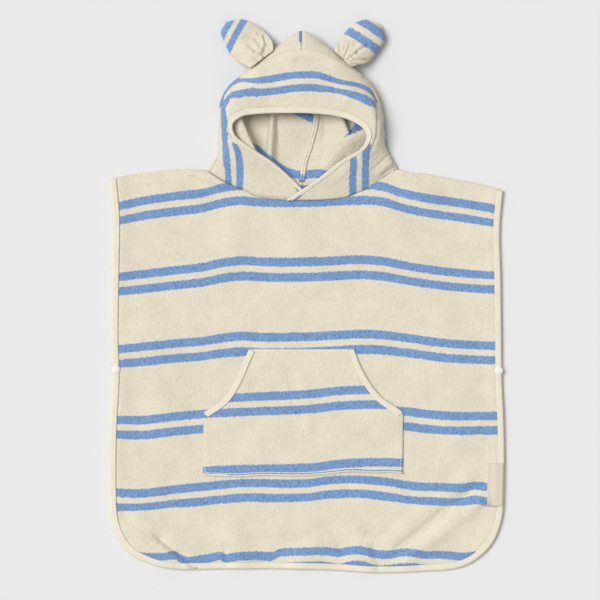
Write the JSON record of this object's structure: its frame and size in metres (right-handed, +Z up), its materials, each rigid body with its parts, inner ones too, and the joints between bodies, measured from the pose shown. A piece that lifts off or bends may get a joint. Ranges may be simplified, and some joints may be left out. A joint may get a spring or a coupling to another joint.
{
  "type": "hooded bath poncho",
  "caption": "Small child's hooded bath poncho of striped terry towelling, laid flat, with bound edges, front pocket, side snaps and two padded ears.",
  "frame": {"origin": "on the surface it lies on, under the middle of the whole outline", "axes": "+Z up from the surface, +Y from the hem towards the hood, +X to the right as seen from above"},
  "size_m": [0.555, 0.7746, 0.0423],
  "materials": {
    "towelling": "cream terry loops with pairs of mid-blue stripes, matt",
    "binding_tape": "smooth cream cotton binding, matt",
    "label_tape": "bare woven label tape, matt",
    "snap_plastic": "off-white moulded snap caps, satin"
  },
  "bodies": {
    "root": {"body_back": "towelling", "body_front": "towelling", "body_binding_back": "binding_tape", "body_binding_front": "binding_tape", "pocket": "towelling", "pocket_binding_left": "binding_tape", "pocket_binding_right": "binding_tape", "hood_back_left": "towelling", "hood_back_right": "towelling", "hood_front": "towelling", "hood_binding": "binding_tape", "ear_left": "towelling", "ear_right": "towelling", "snap_left_front": "snap_plastic", "snap_left_back": "snap_plastic", "snap_right_front": "snap_plastic", "snap_right_back": "snap_plastic", "label": "label_tape"}
  },
  "joints": []
}
